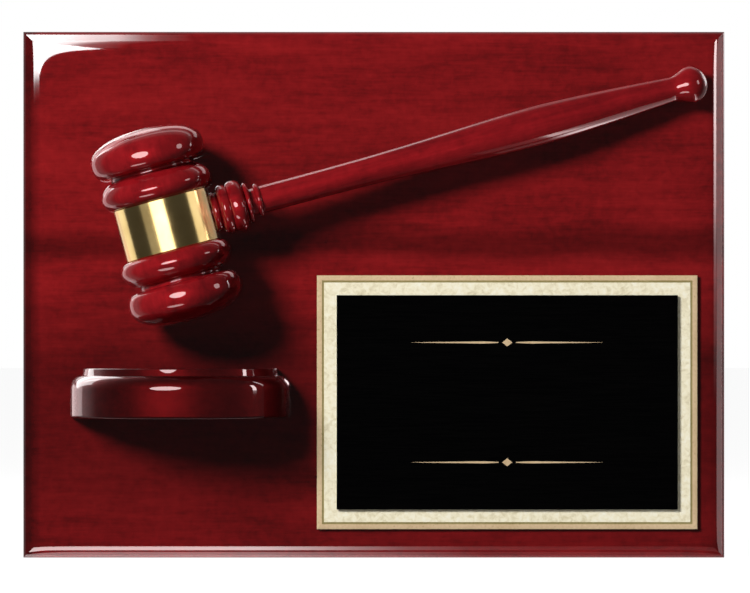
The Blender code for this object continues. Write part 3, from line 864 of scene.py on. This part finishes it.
def handle_profile():
    """Heights are distances from the head's middle along the handle."""
    foot = BAND_RADIUS
    inner_bead = foot + FOOT_RING_LENGTH
    outer_bead = inner_bead + INNER_BEAD_LENGTH
    step_ring = outer_bead + OUTER_BEAD_LENGTH
    cove = step_ring + STEP_RING_LENGTH
    end_ring = cove + COVE_LENGTH
    shaft = end_ring + END_RING_LENGTH
    knob = HANDLE_VECTOR.length
    neck = knob - KNOB_NECK_TO_CENTRE
    swell = neck - SWELL_TO_NECK

    points = [(0, knob + KNOB_CENTRE_TO_END)]
    quarter(points, (KNOB_RADIUS, knob), CROWN_POINTS, True)
    ease(points, (KNOB_NECK_RADIUS, neck), CROWN_POINTS)
    for top, bottom in ((neck, swell), (swell, shaft)):
        for step in range(1, SHAFT_POINTS + 1):
            height = top + (bottom - top) * step / SHAFT_POINTS
            points.append((shaft_radius(height, shaft, neck), height))
    bead(points, (COVE_RADIUS, end_ring), END_RING_RADIUS)
    straight(points, (COVE_RADIUS, cove))
    bead(points, (RING_VALLEY_RADIUS, step_ring), STEP_RING_RADIUS)
    bead(points, (BEAD_VALLEY_RADIUS, outer_bead), OUTER_BEAD_RADIUS)
    bead(points, (RING_VALLEY_RADIUS, inner_bead), INNER_BEAD_RADIUS)
    bead(points, (RING_VALLEY_RADIUS, foot), FOOT_RING_RADIUS)
    tenon_end = BAND_RADIUS - TENON_LENGTH
    return points + [(TENON_RADIUS, foot), (TENON_RADIUS, tenon_end), (0, tenon_end)]


def make_handle(look):
    bm = shade(mill_flat(lathe(handle_profile(), HANDLE_STEPS), HANDLE_MATRIX))
    add_piece("handle_turned", bm, look, "turned_rosewood", "gavel_handle", matrix=HANDLE_MATRIX)


# Sounding block


def make_block():
    low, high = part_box("sound_block")
    radius = (high.x - low.x) / 2
    height = high.z - low.z
    tier = radius - BLOCK_SHOULDER - BLOCK_TIER_INSET
    shoulder_z = height - BLOCK_TIER_HEIGHT
    top_edge = tier - BLOCK_TIER_SLOPE - BLOCK_EDGE_ROUND
    bed, bed_z = top_edge - BLOCK_TOP_MARGIN, height - BLOCK_TOP_THICKNESS
    side = [(0, bed_z)]
    straight(side, (bed, bed_z))
    side += [(bed, height), (top_edge, height)]
    quarter(side, (tier - BLOCK_TIER_SLOPE, height - BLOCK_EDGE_ROUND), BLOCK_EDGE_POINTS, True)
    side += [(tier, shoulder_z), (radius - BLOCK_SHOULDER, shoulder_z)]
    quarter(side, (radius, shoulder_z - BLOCK_SHOULDER_DROP), ARC_POINTS, True)
    straight(side, (radius, BLOCK_FOOT_ROUND))
    quarter(side, (radius - BLOCK_FOOT_ROUND, 0), ARC_POINTS, False)
    straight(side, (0, 0))
    disc, disc_z = bed - BLOCK_TOP_GAP, bed_z + BLOCK_TOP_GAP
    top = [(0, height)]
    straight(top, (disc, height))
    top.append((disc, disc_z))
    straight(top, (0, disc_z))
    matrix = Matrix.Translation(((low.x + high.x) / 2, FRONT_Y, low.z))
    lacquer = block_lacquer()
    for name, points, nodes in (("block_turned", side, ("sound_block",)), ("block_top", top, ())):
        bm = shade(mill_flat(lathe(points, BLOCK_STEPS), matrix))
        add_piece(name, bm, lacquer, "turned_rosewood", *nodes, matrix=matrix)


# Name plate


def make_border_plate(gold, edge, groove):
    centre, half_width, half_height, front, back = measures("border_plate")
    slope_foot = front + BORDER_SLOPE_DROP
    groove_in = BORDER_SLOPE_WIDTH + BORDER_GROOVE_WIDTH
    groove_middle = BORDER_SLOPE_WIDTH + BORDER_GROOVE_WIDTH / 2
    profile = [(groove_in, front), (groove_middle, front + BORDER_GROOVE_DEPTH), (BORDER_SLOPE_WIDTH, front)]
    profile += rounded_rim(slope_foot, back, BORDER_EDGE_ROUND)
    bm = rectangle_slab(centre, half_width, half_height, profile)
    for face in bm.faces:
        middle = face.calc_center_median()
        inset = min(half_width - abs(middle.x - centre.x), half_height - abs(middle.z - centre.z))
        face.material_index = 0 if inset > groove_in else 2 if inset > BORDER_SLOPE_WIDTH else 1
    plate = add_piece("border_plate_trim", shade(bm), gold, "florentine_gold", "border_plate")
    plate.data.materials.append(edge)
    plate.data.materials.append(groove)
    plate.visible_glossy = False


def make_sheet(name, node, look, slot, front, back, edge_round):
    """A flat sheet with a softened front edge, as large as its node."""
    centre, half_width, half_height, _, _ = measures(node)
    bm = shade(rectangle_slab(centre, half_width, half_height, rounded_rim(front, back, edge_round)))
    add_piece(name, bm, look, slot, node)


def make_tape(node, look, front, back):
    """An adhesive sheet that fills the space between the two faces it bonds."""
    make_sheet(node + "_sheet", node, look, "adhesive_sheet", front, back, (back - front) / 4)


def ornament_outline(x_sign):
    """One tapering rule of the ornament, from beside the diamond out to its point."""
    start = ORNAMENT_DIAMOND + ORNAMENT_GAP
    upper = []
    for step in range(ORNAMENT_POINTS + 1):
        share = step / ORNAMENT_POINTS
        blunt = min(1.0, ORNAMENT_BLUNT + ORNAMENT_SWELL * share)
        half = ORNAMENT_HALF_HEIGHT * (1 - share) ** ORNAMENT_TAPER * blunt
        upper.append((x_sign * (start + (ORNAMENT_HALF_LENGTH - start) * share), half))
    return upper + [(x, -z) for x, z in upper[-2::-1]]


def make_ornament(look):
    """A plain divider, two tapering rules and a diamond, engraved above and below the bare field."""
    centre, _, _, front, _ = measures("engraving_plate")
    bm = bmesh.new()
    wide, high = ORNAMENT_DIAMOND, ORNAMENT_DIAMOND_RISE
    diamond = [(wide, 0), (0, high), (-wide, 0), (0, -high)]
    for rise in (ORNAMENT_RISE, -ORNAMENT_RISE):
        for outline in (diamond, ornament_outline(1), ornament_outline(-1)):
            placed = [(centre.x + x, centre.z + rise + z) for x, z in outline]
            prism(bm, placed, front - ORNAMENT_RELIEF, front)
    add_piece("plate_ornament", shade(bm), look, "florentine_gold")


def make_name_plate():
    gold, adhesive = florentine_gold(), adhesive_sheet()
    edge = satin_gold("gold_edge", (0.58, 0.41, 0.23), (0.76, 0.57, 0.36))
    groove = satin_gold("gold_groove", (0.24, 0.19, 0.07), (0.36, 0.3, 0.13))
    _, _, _, border_front, border_back = measures("border_plate")
    _, _, _, front, back = measures("engraving_plate")
    make_tape("border_tape", adhesive, border_back, FRONT_Y)
    make_border_plate(gold, edge, groove)
    make_tape("engraving_tape", adhesive, back, border_front)
    make_sheet("engraving_plate_lacquered", "engraving_plate", black_lacquer(), "black_lacquer", front, back,
               PLATE_EDGE_ROUND)
    make_ornament(edge)


# Screws and hangers


def cross_recess(centre, back_y, head_radius):
    """Two crossed tapering blades that cut a driver recess into a screw head seen from the back."""
    tools = []
    x, z = centre.x, centre.z
    depth = head_radius * RECESS_DEPTH
    for wide, high in ((RECESS_ARM, RECESS_HALF_WIDTH), (RECESS_HALF_WIDTH, RECESS_ARM)):
        half_x, half_z = head_radius * wide, head_radius * high
        bm = box_mesh((x - half_x, back_y - depth, z - half_z), (x + half_x, back_y + depth, z + half_z))
        for vert in bm.verts:
            if vert.co.y < back_y:
                vert.co.x = x + (vert.co.x - x) * RECESS_TAPER
                vert.co.z = z + (vert.co.z - z) * RECESS_TAPER
        tools.append(cutter(bm))
    return tools


def threaded(radius, start, end, tip):
    """Shank points with thread ridges, from the tip up to the start."""
    height = end - tip
    points = [(0, end), (radius, height)]
    while height - THREAD_PITCH > start:
        points += [(radius, height - THREAD_FOOT), (radius + THREAD_HEIGHT, height - THREAD_CREST)]
        height -= THREAD_PITCH
        points.append((radius, height))
    return points + [(radius, start)]


def make_screw(node, look, radius, thread_start, tip, head_points):
    """A screw with a driver recess, its thread from thread_start to the tip."""
    centre, head, _, tip_y, back_y = measures(node)
    profile = threaded(radius, thread_start, -tip_y, tip) + head_points + [(0, -back_y)]
    screw = add_piece(node + "_zinc", shade(peg(profile, centre)), look, "zinc_steel", node)
    carve(screw, cross_recess(centre, back_y, head))


def make_board_screw(node, look):
    """A pan-head screw through the board, threaded past its front."""
    _, head, _, _, back_y = measures(node)
    radius, seat = head * SHANK_SHARE, SCREW_HEAD_HEIGHT - back_y
    head_points = [(radius, seat), (head, seat)]
    quarter(head_points, (head * PAN_HEAD_FLAT_SHARE, -back_y), ARC_POINTS, False)
    make_screw(node, look, radius, -FRONT_Y, SCREW_TIP_LENGTH, head_points)


def make_hanger_screw(node, look):
    """A sunk-head screw, threaded from close under its head."""
    _, head, _, _, back_y = measures(node)
    sunk = HANGER_SCREW_SINK - back_y
    head_points = [(HANGER_SCREW_RADIUS, sunk), (head, -back_y)]
    make_screw(node, look, HANGER_SCREW_RADIUS, sunk + HANGER_SCREW_SINK, HANGER_SCREW_TIP, head_points)


def make_hanger_plate(side, look):
    node = f"hanger_plate_{side}"
    low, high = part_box(node)
    centre = (low + high) / 2
    bm = rounded_box(low, high, HANGER_CORNER, low.y, high.y)
    rim = [edge for edge in bm.edges if abs(edge.verts[0].co.y - edge.verts[1].co.y) < 1e-9]
    bmesh.ops.bevel(bm, geom=rim, offset=HANGER_EDGE_ROUND, segments=3, affect="EDGES", profile=0.5)
    plate = add_piece(node + "_zinc", bm, look, "zinc_steel", node)
    past = -low.y * 2
    slot = KEYHOLE_SLOT_WIDTH / 2
    entry, end_of_slot = centre - UP * KEYHOLE_RISE / 2, centre + UP * KEYHOLE_RISE / 2
    tools = []
    for radius, place in ((KEYHOLE_ENTRY_RADIUS, entry), (slot, end_of_slot)):
        tools.append(cutter(peg(rod(radius, past), place, KEYHOLE_STEPS)))
    tools.append(cutter(box_mesh((centre.x - slot, -past, entry.z), (centre.x + slot, past, end_of_slot.z))))
    for end in HANGER_ENDS:
        screw, head, _, _, _ = measures(f"hanger_screw_{side}_{end}")
        hole = HANGER_SCREW_RADIUS + SCREW_CLEARANCE
        flare = 2 * (head + SCREW_CLEARANCE) - hole
        sunk, out = HANGER_SCREW_SINK - high.y, -HANGER_SCREW_SINK - high.y
        tools.append(cutter(peg([(0, past), (hole, past), (hole, sunk), (flare, out), (0, out)], screw)))
    carve(plate, tools)


# Stage, light and camera


def make_floor():
    """A pale floor under the board's lower edge, that glows for the camera and keeps the shadow."""
    look = Look("pale_floor")
    look.set(Base_Color=(0.22, 0.22, 0.22), Roughness=0.9)
    none, glow = (look.add("ShaderNodeEmission", {"Strength": level}) for level in (0.0, FLOOR_GLOW))
    ray = look.add("ShaderNodeLightPath").outputs
    seen = look.choose(ray["Is Camera Ray"], none.outputs[0], glow.outputs[0])
    both = look.add("ShaderNodeAddShader", {0: look.shader.outputs[0], 1: seen}).outputs[0]
    look.feed(look.tree.nodes["Material Output"].inputs["Surface"], both)
    bm = bmesh.new()
    bmesh.ops.create_grid(bm, x_segments=8, y_segments=8, size=FLOOR_HALF)
    floor = new_object("floor", bm, look.material)
    floor.location = (0, 0, BOARD_LOW.z)
    floor.visible_glossy = False


def make_world():
    """White to the camera, dim as ambient light, and for gloss pale behind the board and dark in front."""
    world = bpy.data.worlds.new("studio")
    bpy.context.scene.world = world
    world.use_nodes = True
    nodes = Nodes(world.node_tree)
    nodes.tree.nodes.clear()

    def background(strength):
        return nodes.add("ShaderNodeBackground", {"Color": WHITE, "Strength": strength}).outputs[0]

    _, y, _ = nodes.axes(nodes.add("ShaderNodeTexCoord").outputs["Generated"])
    gloss = background(nodes.spread(y, 0.16, 0.4, GLOSS_IN_FRONT, GLOSS_BEHIND))
    ray = nodes.add("ShaderNodeLightPath").outputs
    light = nodes.choose(ray["Is Glossy Ray"], background(AMBIENT), gloss)
    for kind in ("Is Transmission Ray", "Is Camera Ray"):
        light = nodes.choose(ray[kind], light, background(1.0))
    nodes.add("ShaderNodeOutputWorld", {"Surface": light})


def area_light(name, place, facing, size, level, across=RIGHT, shape="RECTANGLE", gloss=True, diffuse=True,
               only=(), fade=(), tint=WHITE):
    """A soft lamp, size[0] long along across, with a surface of the given brightness.

    It lights gloss, matt surfaces or both. Where only names pieces, it lights and is shaded by nothing else.
    Where fade has (place, level) stops, the brightness follows them along the lamp's length.
    """
    data = bpy.data.lights.new(name, "AREA")
    data.shape = shape
    data.size, data.size_y = size
    area = size[0] * size[1] * (math.pi / 4 if shape in ("DISK", "ELLIPSE") else 1)
    data.energy = level * math.pi * area
    data.color = tint
    lamp = bpy.data.objects.new(name, data)
    bpy.context.scene.collection.objects.link(lamp)
    back = -Vector(facing).normalized()
    side = Vector(across)
    side = (side - back * back.dot(side)).normalized()
    turn = Matrix((side, back.cross(side), back)).transposed().to_4x4()
    lamp.matrix_world = Matrix.Translation(place) @ turn
    lamp.visible_camera = False
    lamp.visible_glossy = gloss
    lamp.visible_diffuse = diffuse
    if fade:
        fade_along(data, fade, level)
    if only:
        pieces = bpy.data.collections.new(name + "_pieces")
        for piece in only:
            pieces.objects.link(bpy.data.objects[piece])
        lamp.light_linking.receiver_collection = pieces
        lamp.light_linking.blocker_collection = pieces


def fade_along(data, levels, full):
    """Makes a lamp's brightness follow (place, level) stops along its length, out of its full level."""
    data.use_nodes = True
    nodes = Nodes(data.node_tree)
    low, high = levels[0][0], levels[-1][0]
    stops = [((place - low) / (high - low), [level / full] * 3) for place, level in levels]
    along, _, _ = nodes.axes(nodes.add("ShaderNodeNewGeometry").outputs["Parametric"])
    nodes.feed(nodes.tree.nodes["Emission"].inputs["Color"], nodes.ramp(along, *stops))


def gloss_panel(name, centre, axis, angles, distance, across, length, level, only, tint=ROSE, **settings):
    """A panel seen only in gloss, that spans the two angles from the front towards axis."""
    low, high = (math.radians(angle) for angle in angles)
    middle = (low + high) / 2
    way = axis * math.sin(middle) - BACKWARD * math.cos(middle)
    width = 2 * distance * math.tan((high - low) / 2)
    area_light(name, centre + way * distance, -way, (length, width), level, across, diffuse=False, only=only,
               tint=tint, **settings)


def edge_panel(name, depths, axis, place, levels):
    """A panel beside the board that only its gloss shows, from one y to the other."""
    middle, depth = (levels[0][0] + levels[-1][0]) / 2, sum(depths) / 2
    size = (levels[-1][0] - levels[0][0], depths[1] - depths[0])
    centre = (place, depth, middle) if axis == "X" else (middle, depth, place)
    facing = (-place, 0, 0) if axis == "X" else (0, 0, -place)
    across = (0, 0, 1) if axis == "X" else (1, 0, 0)
    brightest = max(level for _, level in levels)
    area_light(name, centre, facing, size, brightest, across, diffuse=False, only=BOARD_PIECE, fade=levels,
               tint=ROSE)


def make_board_lights():
    """The glare in the board's upper left corner, the light in its bevels, and fill on the board and the
    border plate.
    """
    gloss = {"diffuse": False, "only": BOARD_PIECE}
    y = CORNER_GLARE_Y
    area_light("corner_top", (-0.203, y, 0.678), BACKWARD, (0.174, 0.944), CORNER_GLARE, (1, 0, -0.0165),
               fade=TOP_GLARE, **gloss)
    area_light("corner_above", (-0.19, -0.17, 0.71), -UP, (0.2, 0.4), CORNER_GLARE, fade=ABOVE_GLARE, **gloss)
    area_light("corner_left", (-0.47, y, 0.224), BACKWARD, (0.252, 0.44), CORNER_GLARE, UP,
               fade=LEFT_GLARE, **gloss)
    area_light("corner_cut", (-0.25, y, 0.2395), BACKWARD, (0.142, 0.2), CORNER_GLARE, (0.811, 0, 0.585),
               **gloss)
    edge_panel("right_strip", (-0.041, -0.0239), "X", BOARD_HALF_WIDTH + STRIP_GAP, RIGHT_STRIP)
    edge_panel("right_bevel", (-0.08, 0.067), "X", BOARD_HALF_WIDTH + BEVEL_GAP, RIGHT_BEVEL)
    edge_panel("low_strip", (-0.0469, -0.0211), "Z", -BOARD_HALF_HEIGHT - STRIP_GAP, LOW_STRIP)
    edge_panel("low_bevel", (-0.041, 0.19), "Z", -BOARD_HALF_HEIGHT - BEVEL_GAP, LOW_BEVEL)
    area_light("low_fill", (0, 0.06, -0.5), UP, (0.8, 0.14), 13, gloss=False, only=BOARD_PIECE)
    area_light("right_fill", (0.54, 0.06, 0), -RIGHT, (0.6, 0.14), 7, UP, gloss=False, only=BOARD_PIECE)
    area_light("plate_fill", (0.35, -0.35, -0.2), (-0.21, 0.33, 0.14), (0.2, 0.2), 2.9, gloss=False,
               only=("border_plate_trim",))


def make_gavel_lights():
    """Softboxes and rims in the gloss of the head and the handle, and the stripes in the band."""
    head, handle, band = ("head_turned",), ("handle_turned",), ("band_polished",)
    along_handle = GAVEL_MATRIX.to_3x3() @ RIGHT
    along_head = GAVEL_MATRIX.to_3x3() @ UP
    oval = {"shape": "ELLIPSE"}
    area_light("gavel_softbox", (-0.22, -0.51, 0.06), BACKWARD, (0.3, 0.19), 13, diffuse=False,
               only=head + handle + ("block_turned",), tint=ROSE, **oval)
    both = head + handle
    gloss_panel("low_softbox", HEAD_CENTRE - RIGHT * 0.06, -UP, (47, 61), 0.5, RIGHT, 0.26, 6, both, **oval)
    gloss_panel("right_softbox", HEAD_CENTRE, along_handle, (63, 76), 0.6, along_head, 0.16, 5, both, **oval)
    for name, centre, axis, angles, across, length, level, pieces in (
        ("rim_left", HEAD_CENTRE, -RIGHT, (130, 150), UP, 1.6, 1.1, head),
        ("rim_top", HEAD_CENTRE, UP, (138, 151), RIGHT, 1.6, 1.4, head),
        ("rim_top_inner", HEAD_CENTRE, UP, (119, 126), RIGHT, 1.6, 1.0, head),
        ("rim_low", HEAD_CENTRE - RIGHT * 0.35, -UP, (134, 144), RIGHT, 0.35, 0.6, head),
        ("handle_line", HEAD_CENTRE, along_head, (116, 142), along_handle, 1.6, 0.5, handle),
    ):
        gloss_panel(name, centre, axis, angles, RIM_PANEL, across, length, level, pieces)
    for name, axis, angles, level in (
        ("band_bright", -along_handle, (-8.5, 25.7), 3.8),
        ("band_half", -along_handle, (27, 50), 0.36),
        ("band_left", -along_handle, (99, 149), 1.0),
        ("band_right", along_handle, (71, 97), 1.2),
        ("band_edge", along_handle, (99, 150), 0.4),
    ):
        gloss_panel(name, HEAD_CENTRE, axis, angles, BAND_PANEL, along_head, BAND_PANEL, level, band, WHITE)
    below = Vector((along_handle.z, 0, -along_handle.x))
    knob_end = KNOB_CENTRE + along_handle * 0.03
    gloss_panel("handle_panel", knob_end, below, (72, 126), 0.6, along_handle, 0.22, 6.5, handle,
                fade=HANDLE_GLARE)


def make_block_lights():
    """The bar at the sounding block's left corner, and the lines in its side."""
    block = ("block_turned",)
    low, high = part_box("sound_block")
    shoulder = Vector(((low.x + high.x) / 2, FRONT_Y, high.z - 0.008))
    corner = Vector((-0.565, 0.672, 0.479))
    bar = shoulder + Vector((-0.0355, -0.028, 0.003))
    area_light("block_corner", bar + corner * 0.6, -corner, (0.36, 0.5), 4.5, (-0.218, -0.872, 0.438),
               diffuse=False, only=block)
    gloss_panel("block_left", shoulder, -RIGHT, (122, 154), 0.8, UP, 0.2, 1.6, block)
    gloss_panel("block_line", shoulder + UP * 0.0965, RIGHT, (79, 84), 0.5, UP, 0.207, 14, block,
                fade=BLOCK_GLARE)
    gloss_panel("block_end", shoulder + Vector((0.045, 0, 0.085)), RIGHT, (157, 166), 0.5, UP, 0.08, 3, block)


def make_lights():
    key_place = Vector((0, FRONT_Y, 0)) + KEY_WAY * KEY_DISTANCE
    area_light("key", key_place, -KEY_WAY, (0.72, 0.72), 63, shape="DISK", gloss=False)
    make_board_lights()
    make_gavel_lights()
    make_block_lights()
    area_light("back_left", (-1.0, 1.2, 0.9), (1.0, -1.2, -0.9), (0.8, 0.8), 4)
    area_light("back_right", (1.1, 1.0, 0.5), (-1.1, -1.0, -0.5), (0.8, 0.8), 3)


def make_camera():
    data = bpy.data.cameras.new("camera")
    camera = bpy.data.objects.new("camera", data)
    bpy.context.scene.collection.objects.link(camera)
    data.sensor_width = SENSOR * 1000
    data.lens = LENS * 1000
    outline_y = FRONT_Y + EDGE_BEVEL
    distance = FRAME_WIDTH_PX * METRES_PER_PX * LENS / SENSOR
    x = (FRAME_WIDTH_PX / 2 - PLAQUE_CENTRE_PX[0]) * METRES_PER_PX
    z = (PLAQUE_CENTRE_PX[1] - FRAME_HEIGHT_PX / 2) * METRES_PER_PX
    camera.location = (x, outline_y - distance, z)
    camera.rotation_euler = (math.pi / 2, 0, 0)
    data.clip_end = CAMERA_REACH
    bpy.context.scene.camera = camera


def main():
    turned = turned_lacquer()
    steel = zinc_steel()
    make_board()
    make_head(turned)
    make_band()
    make_handle(turned)
    make_block()
    make_name_plate()
    for node in BOARD_SCREWS:
        make_board_screw(node, steel)
    for node in HANGER_SCREWS:
        make_hanger_screw(node, steel)
    for side in HANGER_SIDES:
        make_hanger_plate(side, steel)
    make_floor()
    make_world()
    make_lights()
    make_camera()
    bpy.context.scene.view_settings.view_transform = "Standard"


main()
